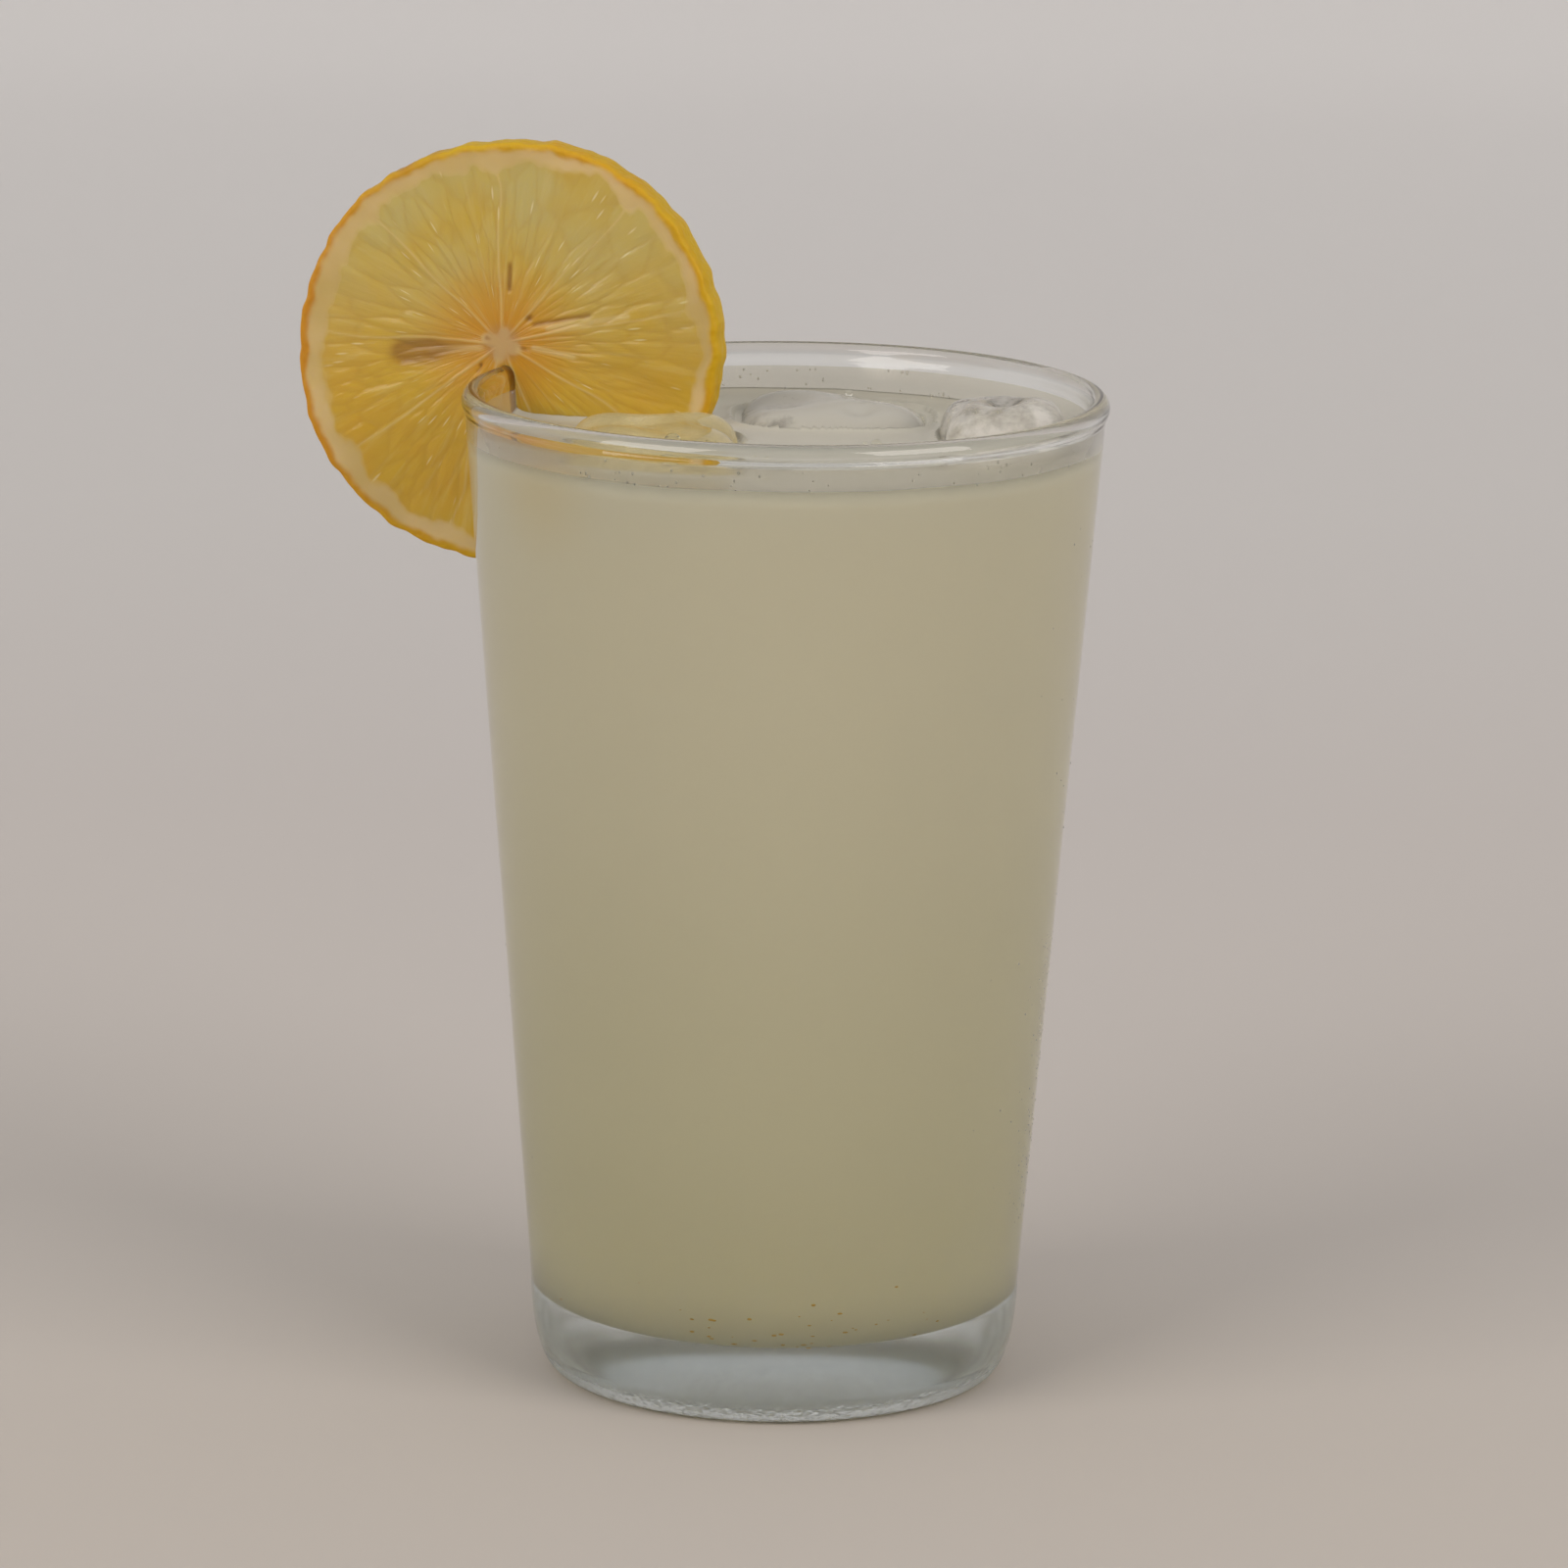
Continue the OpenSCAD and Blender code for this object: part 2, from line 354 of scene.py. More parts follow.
paper, tree = new_material("matt_paper")
place = node(tree, "TexCoord").outputs["Object"]
spot = node(tree, "SeparateXYZ", {0: place})
toward_back = node(tree, "MapRange", {0: spot.outputs[1], 1: FALLOFF_NEAR, 2: FALLOFF_FAR})
# painted shade: the paper darkens and warms towards the camera and lightens far behind
painted_falloff = node(tree, "ValToRGB", {0: toward_back.outputs[0]}, [
    (0.0, linear("bfb7ae")), (0.3, linear("ccc5bf")), (0.5, linear("dad5d0")), (1.0, linear("f4f0ec"))])
surface = node(tree, "BsdfPrincipled", {
    "Base Color": painted_falloff.outputs[0], "Roughness": 0.9, "Specular IOR Level": 0.15})
finish_material(tree, surface)
sweep = bpy.data.objects.new("paper_sweep", sweep_mesh)
scene.collection.objects.link(sweep)
sweep_mesh.materials.append(paper)
print("paper sweep", 2 * SWEEP_SIDE, "m wide")

# %% [markdown]
# ## The glass
# A tumbler is pressed in a mould, and its rim is melted round by a flame. Its half section is one
# closed line: the shallow hollow underneath, the ring that it stands on, the rounded heel, the
# straight wall, the round bead, and back down the inside. Carried round the axis it makes the
# whole glass. Pressed walls are never quite true, so the line wanders by a few hundredths of a mm.

# %% Shape of the glass
BEAD_IN_R = inner_r(WALL_TOP_Z)
BEAD_MID_R = (BEAD_IN_R + RIM_R) / 2
BEAD_HALF = RIM_R - BEAD_MID_R
OUT_WANDER, IN_WANDER, RIM_WANDER = 0.04, 0.07, 0.12
outside = np.concatenate([
    line((0, HOLLOW_DEEP), (HOLLOW_R - 2 * HOLLOW_DEEP, HOLLOW_DEEP), 22),
    line((HOLLOW_R - 2 * HOLLOW_DEEP, HOLLOW_DEEP), (HOLLOW_R, 0), 5)[1:],
    line((HOLLOW_R, 0), (FOOT_R, 0), 8)[1:],
    arc(FOOT_R, HEEL_H, HEEL_R - FOOT_R, HEEL_H, -90, 0, 22)[1:],
    line((HEEL_R, HEEL_H), (WALL_TOP_R, WALL_TOP_Z), 50)[1:],
    arc(BEAD_MID_R, HEIGHT - BEAD_H / 2, BEAD_HALF, BEAD_H / 2, -30, 90, 16)])
inside = np.concatenate([
    arc(BEAD_MID_R, HEIGHT - BEAD_H / 2, BEAD_HALF, BEAD_H / 2, 90, 180, 12),
    line((BEAD_IN_R, WALL_TOP_Z), (inner_r(CORNER_Z), CORNER_Z), 50),
    arc(CORNER_X, CORNER_Z, CORNER_R, CORNER_R, -CORNER_LEAN, -90, 14)[1:],
    line((CORNER_X, FLOOR), (0, FLOOR), 16)[1:]])


def wander(grid, amount, size, seed):
    """Moves each point in or out from the axis by soft lumps, and waves the rim down and up again:
    twice round, by the sine of the angle, and only near the top, by a high power of the height."""
    share = 1 + amount * lumps(grid, size, seed)[..., None] / RIM_R
    turn = np.arctan2(grid[..., 1], grid[..., 0])
    rim_share = (grid[..., 2] / HEIGHT) ** 12
    moved = grid * [1, 1, 0] * share + grid * [0, 0, 1]
    moved[..., 2] += RIM_WANDER * rim_share * (np.sin(2 * turn + 0.6) - 1)
    return moved


GLASS_COLUMNS = 288
glass_mesh = mesh_of("glass_tumbler", [
    wander(revolve(outside, GLASS_COLUMNS), OUT_WANDER, size=45, seed=3),
    wander(revolve(inside, GLASS_COLUMNS), IN_WANDER, size=38, seed=4)])
print(f"wall {WALL_TOP} to {WALL_LOW} mm thick, bead {2 * BEAD_HALF:.1f} mm, floor {FLOOR:.1f} mm")

# %% [markdown]
# ### Soda-lime glass
# Plain table glass: clear, with a faint green-blue tint from iron that only shows through the
# thick bottom, which is painted a little bluer still as a painted reflection of bluish room light.
# It bends light by 1.52. The underside is pressed with a fine stipple, so that it doesn't slide or
# stick when it is wet. That stipple scatters the light, so the bottom looks frosted, and the worn
# heel round it is slightly hazy. Where the melted bead is seen edge on, its colour is painted dark:
# a painted shade for the dark room that it shows there. Just above the cold drink a fine mist has
# settled on the inside, and hides the wall a little. Each of these is a material of its own,
# because clear glass alone renders fastest.

# %% Finish of the glass
GLASS_IOR, CLEAR_TINT = 1.52, "fbfdfc"
# a pressed stipple is really finer, and is drawn this coarse so that it shows
STIPPLE_MM, STIPPLE_DEEP = 0.8, 0.0005
# how much light the stipple lets through, and how rough the heel and the stipple are
STIPPLE_THROUGH, HEEL_HAZE, STIPPLE_HAZE = 0.88, 0.11, 0.36
# heights in metres over which the stipple fades out, the tint clears, and the bead begins
STIPPLE_LOW, STIPPLE_TOP = 0.0010, 0.0036
TINT_LOW, TINT_HIGH = 0.008, 0.014
BEAD_LOW, BEAD_FULL = 0.1295, 0.1310
clear_glass, tree = new_material("soda_lime_glass")
surface = node(tree, "BsdfPrincipled", {
    "Base Color": linear(CLEAR_TINT), "Roughness": 0.0, "IOR": GLASS_IOR, "Transmission Weight": 1.0})
finish_material(tree, surface)

thick_bottom_glass, tree = new_material("thick_bottom_glass")
place = node(tree, "TexCoord").outputs["Object"]
spot = node(tree, "SeparateXYZ", {0: place})
under = node(tree, "MapRange", {0: spot.outputs[2], 1: STIPPLE_LOW, 2: STIPPLE_TOP, 3: 1.0, 4: 0.0},
             interpolation_type="SMOOTHSTEP")
stipple = node(tree, "TexNoise", {"Vector": place, "Scale": 1000 / STIPPLE_MM, "Detail": 1.0})
masked = node(tree, "Math", {0: stipple.outputs[0], 1: under.outputs[0]}, operation="MULTIPLY")
rough = node(tree, "Bump", {"Height": masked.outputs[0], "Strength": 0.6, "Distance": STIPPLE_DEEP})
frost = node(tree, "MapRange", {0: under.outputs[0], 3: 1.0, 4: STIPPLE_THROUGH})
haze = node(tree, "MapRange", {0: under.outputs[0], 3: HEEL_HAZE, 4: STIPPLE_HAZE})
# the thick bottom's blue is partly the glass's own tint and partly a painted reflection of bluish room
# light
shade = paint(tree, linear("eefaff"), [
    (spot.outputs[2], TINT_LOW, TINT_HIGH, 1.0, linear(CLEAR_TINT)),
    (under.outputs[0], 0.0, 1.0, 1.0, linear("f2faff"))])
surface = node(tree, "BsdfPrincipled", {
    "Base Color": shade, "Roughness": haze.outputs[0], "IOR": GLASS_IOR,
    "Transmission Weight": frost.outputs[0], "Normal": rough.outputs[0]})
finish_material(tree, surface)

bead_glass, tree = new_material("melted_bead_glass")
place = node(tree, "TexCoord").outputs["Object"]
spot = node(tree, "SeparateXYZ", {0: place})
edge_on = node(tree, "LayerWeight", {"Blend": 0.5}).outputs["Facing"]
in_bead = node(tree, "MapRange", {0: spot.outputs[2], 1: BEAD_LOW, 2: BEAD_FULL},
               interpolation_type="SMOOTHSTEP")
painted_bead_shade = node(tree, "Math", {0: edge_on, 1: in_bead.outputs[0]}, operation="MULTIPLY").outputs[0]
# painted shade: the bead's colour darkens towards olive grey where it is seen edge on
shade = paint(tree, linear(CLEAR_TINT), [(painted_bead_shade, 0.60, 1.0, 0.7, linear("8a8e80"))])
surface = node(tree, "BsdfPrincipled", {
    "Base Color": shade, "Roughness": 0.0, "IOR": GLASS_IOR, "Transmission Weight": 1.0})
finish_material(tree, surface)

misted_glass, tree = new_material("misted_glass")
surface = node(tree, "BsdfPrincipled", {
    "Base Color": linear("e0dccc"), "Roughness": 0.20, "IOR": GLASS_IOR, "Transmission Weight": 0.80})
finish_material(tree, surface)

# %% Which part of the glass has which finish
MIST_LOW = LEVEL - 0.6
centres = centres_of(glass_mesh)
face_r, face_z = np.hypot(centres[:, 0], centres[:, 1]), centres[:, 2]
in_bowl = face_r < (inner_r(face_z) + outer_r(face_z)) / 2
# 0 is clear, 1 the thick bottom, 2 the bead and 3 the misted inside, as in the list of materials
finish_number = np.select(
    [face_z < TINT_HIGH / MM, face_z > BEAD_LOW / MM, in_bowl & (face_z > MIST_LOW)], [1, 2, 3], 0)
show(glass_mesh, [clear_glass, thick_bottom_glass, bead_glass, misted_glass], "glass")
glass_mesh.polygons.foreach_set("material_index", finish_number.astype(np.int32))

# %% [markdown]
# ## The ice
# Half melted blocks: still boxes, but with round edges, a dip or two on top and soft hollows in
# the sides. Each is a box of six grids blown up onto a rounded box. A point in the direction n
# lies where |x/a|, |y/b| and |z/c|, each to the power of 4, add up to 1, and soft lumps then move
# it along n by a few hundredths of its length.

# %% Shape of a block of ice
ICE_SQUARE, ICE_GRID = 4.0, 44
ICE_LUMPS, ICE_LUMP_MM = 0.035, 13.0


def cube_directions(count):
    """Six grids of unit vectors that cover all directions, as the six sides of a cube do."""
    ramp = np.tan(np.linspace(-np.pi / 4, np.pi / 4, count))
    u, v = np.meshgrid(ramp, ramp, indexing="ij")
    one = np.ones_like(u)
    sides = [np.stack(axes, -1) for axes in [
        (one, u, v), (-one, u, v), (u, one, v), (u, -one, v), (u, v, one), (u, v, -one)]]
    return [side / np.linalg.norm(side, axis=-1, keepdims=True) for side in sides]


def ice_reach(way, half):
    """How far the rounded box with these half sizes reaches in a direction."""
    return (np.abs(way / half) ** ICE_SQUARE).sum(-1) ** (-1 / ICE_SQUARE)


def ice_mesh(name, node_name, seed, dips):
    """A melted block that fills its solid's box. A dip is a place on top, its radius and depth:
    the surface sinks by the depth times a bell curve of the distance."""
    low, high = span(node_name)
    middle, half = (low + high) / 2, (high - low) / 2
    grids = []
    for way in cube_directions(ICE_GRID):
        reach = ice_reach(way, half)[..., None]
        grid = way * reach * (1 - ICE_LUMPS + ICE_LUMPS * lumps(way * half, ICE_LUMP_MM, seed)[..., None])
        grid = grid + middle
        for x, y, radius, depth in dips:
            away = np.hypot(grid[..., 0] - x, grid[..., 1] - y)
            on_top = smooth_step(grid[..., 2], middle[2], high[2])
            grid[..., 2] -= depth * np.exp(-(away / radius) ** 2) * on_top
        grids.append(grid)
    return mesh_of(name, grids, round_trip=False)


ICE_DIPS = {
    "left": [(-15, -12, 4.5, 0.7), (-10, -3, 3.0, 0.5), (-22, -4, 5.0, 0.6)],
    "middle": [(10, 14, 2.2, 0.9), (0, 20, 4.0, 0.9), (14, 24, 3.5, 0.6)],
    "right": [(29, 2, 2.4, 1.6), (33, 8, 2.2, 1.0), (25, 7, 2.0, 0.9)],
}
ice_meshes = {
    side: ice_mesh("ice_block_" + side, "ice_" + side, seed, dips)
    for seed, (side, dips) in enumerate(ICE_DIPS.items(), 21)}
print("blocks of ice:", ", ".join(ice_meshes))

# %% [markdown]
# ### Ice
# Clear, wet ice bends light by only 1.31, so it almost disappears in the drink. Air that was
# pressed out as the water froze leaves milky clouds inside it, which are a white share of the
# shader here, strongest where a coarse noise is high.

# %% Finish of the ice
ICE_IOR = 1.31
ICE_CLOUD_MM, ICE_RIPPLE_MM = 9.0, 3.846


def ice_finish(name, cloudy_from, cloudy_to, most, tint):
    """Clear ice with milky patches where the noise lies above cloudy_from, up to the share most."""
    material, tree = new_material(name)
    place = node(tree, "TexCoord").outputs["Object"]
    cloud = node(tree, "TexNoise", {"Vector": place, "Scale": 1000 / ICE_CLOUD_MM, "Detail": 5.0,
                                    "Roughness": 0.65})
    milk = node(tree, "MapRange", {0: cloud.outputs[0], 1: cloudy_from, 2: cloudy_to, 3: 1.0, 4: 1 - most})
    ripple = node(tree, "TexNoise", {"Vector": place, "Scale": 1000 / ICE_RIPPLE_MM, "Detail": 2.0})
    wet = node(tree, "Bump", {"Height": ripple.outputs[0], "Strength": 0.25, "Distance": 0.0004})
    surface = node(tree, "BsdfPrincipled", {
        "Base Color": linear(tint), "Roughness": 0.04, "IOR": ICE_IOR,
        "Transmission Weight": milk.outputs[0], "Normal": wet.outputs[0]})
    finish_material(tree, surface)
    return material


ICE_FINISHES = {
    # the left block's yellow tint is painted light: the lemon's yellow seen through the ice
    "left": ice_finish("clear_ice", 0.35, 0.75, 0.50, "e8dcb4"),
    "middle": ice_finish("cloudy_ice", 0.20, 0.50, 0.90, "bcb8ac"),
    "right": ice_finish("milky_ice", 0.28, 0.58, 0.85, "d6d2ca"),
}
for side, mesh in ice_meshes.items():
    show(mesh, [ICE_FINISHES[side]], "ice_" + side)

# %% [markdown]
# ### Bubbles
# Air that the water held came out of it as it froze, in a swarm of small round bubbles. Each
# bubble is the same little ball, a grid of latitudes, moved and scaled by one array product.


# %% Small things in swarms
def ball(rings, columns):
    """A ball of radius 1: rings of latitude from pole to pole."""
    tilt = np.linspace(-90, 90, rings)
    profile = np.stack([np.cos(np.radians(tilt)), np.sin(np.radians(tilt))], -1)
    return revolve(profile, columns)


def swarm(name, shapes):
    """One mesh of many small closed grids, one for each row of the array shapes."""
    count, rings, columns, _ = shapes.shape
    faces = grid_faces(rings, columns, True)[None] + (np.arange(count) * rings * columns)[:, None, None]
    return closed_mesh(name, shapes.reshape(-1, 3), faces.reshape(-1, 4), weld=0.0005)


SMALL_BALL = ball(7, 10)

# %% Bubbles in the right block
BUBBLES, BUBBLE_SHARE, BUBBLE_RISE = 110, np.array([0.62, 0.62, 0.30]), [0, 0, 4.2]
random = np.random.default_rng(51)
low, high = span("ice_right")
middle, half = (low + high) / 2, (high - low) / 2
where = middle + half * BUBBLE_SHARE * random.uniform(-1, 1, (BUBBLES, 3)) + BUBBLE_RISE
bubble_r = random.uniform(0.10, 0.42, BUBBLES)
bubbles = where[:, None, None] + bubble_r[:, None, None, None] * SMALL_BALL
# seen from the ice, a bubble of air bends light the other way
air, tree = new_material("trapped_air")
surface = node(tree, "BsdfPrincipled", {
    "Base Color": linear("fbfbf8"), "Roughness": 0.05, "IOR": 1 / ICE_IOR, "Transmission Weight": 0.8})
finish_material(tree, surface)
show(swarm("bubbles_in_ice", bubbles), [air])

# %% [markdown]
# ## The slice of lemon
# A wheel about 5 mm thick. From the middle out it has a white core, juicy segments with thin
# skins between them, white pith and the coloured peel. The wheel is one grid round the core: the
# distance to the core, as a share of the distance to the outline, runs across the front face, over
# the rounded edge and back across the other face. A ring in the shape of the glass's wall is then
# cut out of it, which leaves the slit that holds it on the rim.

# %% Places on the slice
SLICE_TURN = math.radians(14)
SLICE_R, SLICE_OVAL, SLICE_OVAL_TURN, SLICE_T = 29.0, 0.8, math.radians(30), 5.0
CORE = np.array([-0.5, 1.0])
CORE_R, PEEL_T, PITH_T, SKIN_T = 2.0, 1.15, 1.85, 0.7
SKIN_TURNS = np.radians([13, 49, 92, 138, 179, 217, 255, 293, 333])
slice_middle = (slice_low + slice_high) / 2
along = np.array([math.cos(SLICE_TURN), -math.sin(SLICE_TURN), 0])
facing = np.array([-math.sin(SLICE_TURN), -math.cos(SLICE_TURN), 0])
upward = np.array([0, 0, 1.0])
print(f"wheel {2 * SLICE_R:.0f} mm wide and {SLICE_T:.0f} mm thick, {len(SKIN_TURNS)} segments")


def outline_r(turn):
    """Radius of the outline about the middle: an oval, a few soft lumps, and a fine waviness, all
    from sines of the angle."""
    lumpy = 0.25 * np.sin(3 * turn + 0.4) + 0.2 * np.sin(5 * turn + 2.2) + 0.09 * np.sin(11 * turn)
    fine = 0.10 * np.sin(29 * turn + 1.0 + np.sin(3 * turn))
    fine += 0.06 * np.sin(47 * turn + 2 * np.sin(2 * turn))
    return SLICE_R + SLICE_OVAL * np.cos(2 * (turn - SLICE_OVAL_TURN)) + lumpy * 0.8 + fine


def core_to_outline(turn):
    """Distance from the core to the outline in a direction, by three rounds of the same step:
    where the line from the core meets a circle whose radius is that of the outline there."""
    way = np.stack([np.cos(turn), np.sin(turn)], -1)
    along_way = way @ CORE
    radius = np.full(turn.shape, SLICE_R)
    for _ in range(3):
        reach = -along_way + np.sqrt(along_way ** 2 - CORE @ CORE + radius ** 2)
        spot = CORE + way * reach[..., None]
        radius = outline_r(np.arctan2(spot[..., 1], spot[..., 0]))
    return reach


def from_slice(u, v, w):
    """Turns places on the slice, across, up and out of its face, into places in the frame."""
    return slice_middle + u[..., None] * along + v[..., None] * upward + w[..., None] * facing


def to_slice(points):
    """The other way round: across, up and out of the face, for places in the frame."""
    arm = points - slice_middle
    return arm @ along, arm @ upward, arm @ facing


# %% [markdown]
# Each zone is a share from 0 to 1 that depends on the place. Peel and pith are depths below the
# outline, skins are narrow bands round fixed directions from the core, and the juice sacs are the
# cells round seeded points, which are long towards the core. Brown streaks, the pale lines of
# painted highlight and the scar on the peel are bell curves of the distance from short lines.

# %% Zones of the slice
# sacs round the core over two pi, the length of a sac, and how many there are
SACS, SAC_LONG, SAC_COUNT = 7.0, 8.5, 260
# how far the peel's inner edge is blurred, how far the pith reaches in at a skin, and how wide
PEEL_BLUR, CORNER_DEEP, CORNER_WIDE = 0.55, 0.7, 1.3
# how much of the flesh a skin hides
SKIN_HIDES = 0.42
ZONE_NAMES = ("peel", "flesh", "skin", "sac", "brown", "pale", "scar", "away")


def near_line(u, v, start, end, width):
    """A bell curve of the distance from the straight line between two places on the slice."""
    start, end = np.array(start, float), np.array(end, float)
    arm = end - start
    share = np.clip(((u - start[0]) * arm[0] + (v - start[1]) * arm[1]) / (arm @ arm), 0, 1)
    away = np.hypot(u - start[0] - share * arm[0], v - start[1] - share * arm[1])
    return np.exp(-(away / width) ** 2)


def slice_zones(u, v):
    """What the slice is made of at a place, as shares from 0 to 1, and where the juice sacs are."""
    arm_u, arm_v = u - CORE[0], v - CORE[1]
    turn, away = np.arctan2(arm_v, arm_u), np.hypot(arm_u, arm_v)
    reach = core_to_outline(turn)
    spot = np.stack([u, v, 0 * u], -1)
    uneven = lumps(spot, 6.0, 31)
    depth = reach - away
    rim_wave = 0.22 * uneven + 0.12 * lumps(spot, 2.2, 32)
    pith_t = PITH_T * (1 - 0.22 * np.cos(turn) + 0.08 * np.sin(5 * turn))
    peel = 1 - smooth_step(depth + rim_wave, PEEL_T - PEEL_BLUR, PEEL_T + PEEL_BLUR)
    bent = turn + 0.02 * lumps(spot, 9.0, 33)
    gap = np.abs((bent[..., None] - SKIN_TURNS + np.pi) % (2 * np.pi) - np.pi).min(-1)
    # the outer corners of a segment are round, so the pith reaches in along each skin
    corner = CORNER_DEEP * np.exp(-(gap * away / CORNER_WIDE) ** 2)
    rind_t = PEEL_T + pith_t + corner
    in_flesh = smooth_step(depth + 2.0 * rim_wave, rind_t - 0.7, rind_t + 0.8)
    core_r = CORE_R * (1 + 0.25 * np.cos(turn * 4 + 1) + 0.2 * uneven)
    out_of_core = smooth_step(away, core_r - 0.4, core_r + 0.8)
    skin = np.exp(-(gap * away / (0.35 * SKIN_T)) ** 2) * in_flesh * out_of_core
    flesh = in_flesh * out_of_core * (1 - SKIN_HIDES * skin)
    random = np.random.default_rng(34)
    sac_turn = random.uniform(0, 2 * np.pi, SAC_COUNT)
    sac_out = random.uniform(0, SLICE_R / SAC_LONG, SAC_COUNT)
    seeds = np.stack([SACS * np.cos(sac_turn), SACS * np.sin(sac_turn), sac_out], -1)
    here = np.stack([SACS * np.cos(turn), SACS * np.sin(turn), away / SAC_LONG], -1)
    # the difference between the distances to the two nearest seeds is 0 between two sacs
    squares = (here ** 2).sum(-1)[..., None] + (seeds ** 2).sum(-1) - 2 * here @ seeds.T
    nearest = np.sqrt(np.maximum(np.partition(squares, 1, axis=-1)[..., :2], 0))
    sac = np.clip((nearest[..., 1] - nearest[..., 0]) * 1.6, 0, 1)
    hollow = near_line(u, v, (-4.2, 0.5), (-14.2, -0.9), 1.5) * smooth_step(-u, 1.5, 12)
    brown = np.maximum.reduce([
        hollow + 0.6 * near_line(u, v, (-11, -0.4), (-14.8, -1.0), 1.8),
        0.8 * near_line(u, v, (0.45, 8.5), (0.55, 11.6), 0.38),
        0.7 * near_line(u, v, (3.9, 3.8), (11.5, 5.4), 0.36),
        *[near_line(u, v, (x, y), (x + 0.05, y), r) for x, y, r in [
            (-2.5, 1.7, 0.35), (-3.5, -2.1, 0.3), (-3.8, -2.8, 0.25), (2.5, 0.4, 0.3), (3.2, 4.6, 0.5)]]])
    # painted highlights: pale lines along a few streaks, one down the middle of the sunk hollow
    pale = np.maximum.reduce([
        0.8 * near_line(u, v, (-3.5, 0.3), (-10.5, -0.4), 0.6),
        near_line(u, v, (6.0, 3.4), (17.0, 5.6), 0.4),
        near_line(u, v, (4.0, 0.6), (9.5, -0.3), 0.45)])
    scar = near_line(u, v, (-15.0, 24.6), (-8.8, 27.9), 1.1) * smooth_step(0.6 * uneven, -0.7, 0.2)
    return {"peel": peel, "flesh": flesh, "skin": skin, "sac": sac, "brown": np.clip(brown, 0, 1),
            "pale": pale, "scar": scar, "depth": depth, "turn": turn, "away": away}


# %% Shape of the slice
SLICE_COLUMNS, FACE_ROWS, EDGE_ROWS = 560, 62, 11
# the rounding of the edge, and then depths and heights of the relief, all in millimetres
EDGE_ROUND, SUNK, SAC_HIGH = 0.75, 0.28, 0.22
SKIN_HIGH, BROWN_DEEP, PITH_DEEP, WAVES_HIGH, MOST_PROUD = 0.05, 0.35, 0.12, 0.05, 0.12
PORE_DEEP, PORE_MM = 0.05, 1.9
turn = np.linspace(0, 2 * np.pi, SLICE_COLUMNS, endpoint=False)
reach = core_to_outline(turn)


def slice_face(side):
    """One face from the core to where the edge starts to round over. The segments have sunk below
    their skins, and each juice sac bulges up between its neighbours."""
    share = np.linspace(0, 1, FACE_ROWS)[:, None]
    away = share * (reach - EDGE_ROUND)
    u, v = CORE[0] + away * np.cos(turn), CORE[1] + away * np.sin(turn)
    zone = slice_zones(u, v)
    relief = zone["flesh"] * (SAC_HIGH * np.sqrt(zone["sac"]) * smooth_step(away, 2, 14) - SUNK)
    relief += SKIN_HIGH * zone["skin"] - BROWN_DEEP * zone["brown"] * zone["flesh"]
    relief -= PITH_DEEP * (1 - zone["peel"]) * (1 - zone["flesh"])
    relief += WAVES_HIGH * lumps(np.stack([u, v, 0 * u], -1), 5.0, 35 + side)
    fade = smooth_step(zone["depth"], EDGE_ROUND, EDGE_ROUND + 0.5)
    return from_slice(u, v, side * (SLICE_T / 2 + np.minimum(relief * fade, MOST_PROUD)))


def slice_edge():
    """The peel between the faces: two quarter rounds joined by a slightly bulging band. The way
    out is the cosine of a tilt and the height its sine, each to a power that squares the curve."""
    tilt = np.linspace(np.pi / 2, -np.pi / 2, EDGE_ROWS)[:, None]
    out = np.abs(np.cos(tilt)) ** 0.5
    w = np.sign(np.sin(tilt)) * np.abs(np.sin(tilt)) ** 0.8 * SLICE_T / 2
    away = reach - EDGE_ROUND + EDGE_ROUND * out
    u, v = CORE[0] + away * np.cos(turn), CORE[1] + away * np.sin(turn)
    pores = lumps(np.stack([u, v, w + 0 * u], -1), PORE_MM, seed=37, waves=24)
    away = away + PORE_DEEP * pores * out
    return from_slice(CORE[0] + away * np.cos(turn), CORE[1] + away * np.sin(turn), w + 0 * u)


slice_mesh = mesh_of("lemon_wheel", [slice_face(1), slice_edge(), slice_face(-1)])
print("wheel before the slit:", len(slice_mesh.vertices), "points")

# %% The slit in the slice
# less than nothing: the slit is a tenth of a millimetre tight, so no light shows beside the glass
SLIT_GAP = -0.10
SLIT_LOW, SLIT_COLUMNS = HEIGHT - 2 * SLICE_R, 360
bead_low = WALL_TOP_Z - SLIT_GAP
slit_line = np.concatenate([
    line((outer_r(SLIT_LOW) + SLIT_GAP, SLIT_LOW), (outer_r(bead_low) + SLIT_GAP, bead_low), 12),
    arc(BEAD_MID_R, HEIGHT - BEAD_H / 2, BEAD_HALF + SLIT_GAP, BEAD_H / 2 + SLIT_GAP, -30, 180, 18),
    line((BEAD_IN_R - SLIT_GAP, bead_low), (inner_r(SLIT_LOW) - SLIT_GAP, SLIT_LOW), 12)])
slit_line = np.concatenate([slit_line, slit_line[:1]])
slit_ring = bpy.data.objects.new("slit_ring", mesh_of("slit_ring", [revolve(slit_line, SLIT_COLUMNS)]))
whole = bpy.data.objects.new("whole_wheel", slice_mesh)
for thing in (slit_ring, whole):
    scene.collection.objects.link(thing)
cut = whole.modifiers.new("slit", "BOOLEAN")
cut.operation, cut.solver, cut.object = "DIFFERENCE", "EXACT", slit_ring
depsgraph = bpy.context.evaluated_depsgraph_get()
wheel_mesh = bpy.data.meshes.new_from_object(whole.evaluated_get(depsgraph))
wheel_mesh.name = "lemon_wheel_on_rim"
wheel_mesh.materials.clear()
for thing in (slit_ring, whole):
    bpy.data.objects.remove(thing)
wheel_mesh.set_sharp_from_angle(angle=math.radians(60))
print("slit cut:", len(wheel_mesh.vertices), "points")

# %% [markdown]
# The boolean keeps no painted values, so the zones are worked out again from the places of the
# finished points, and stored as attributes that the material reads.

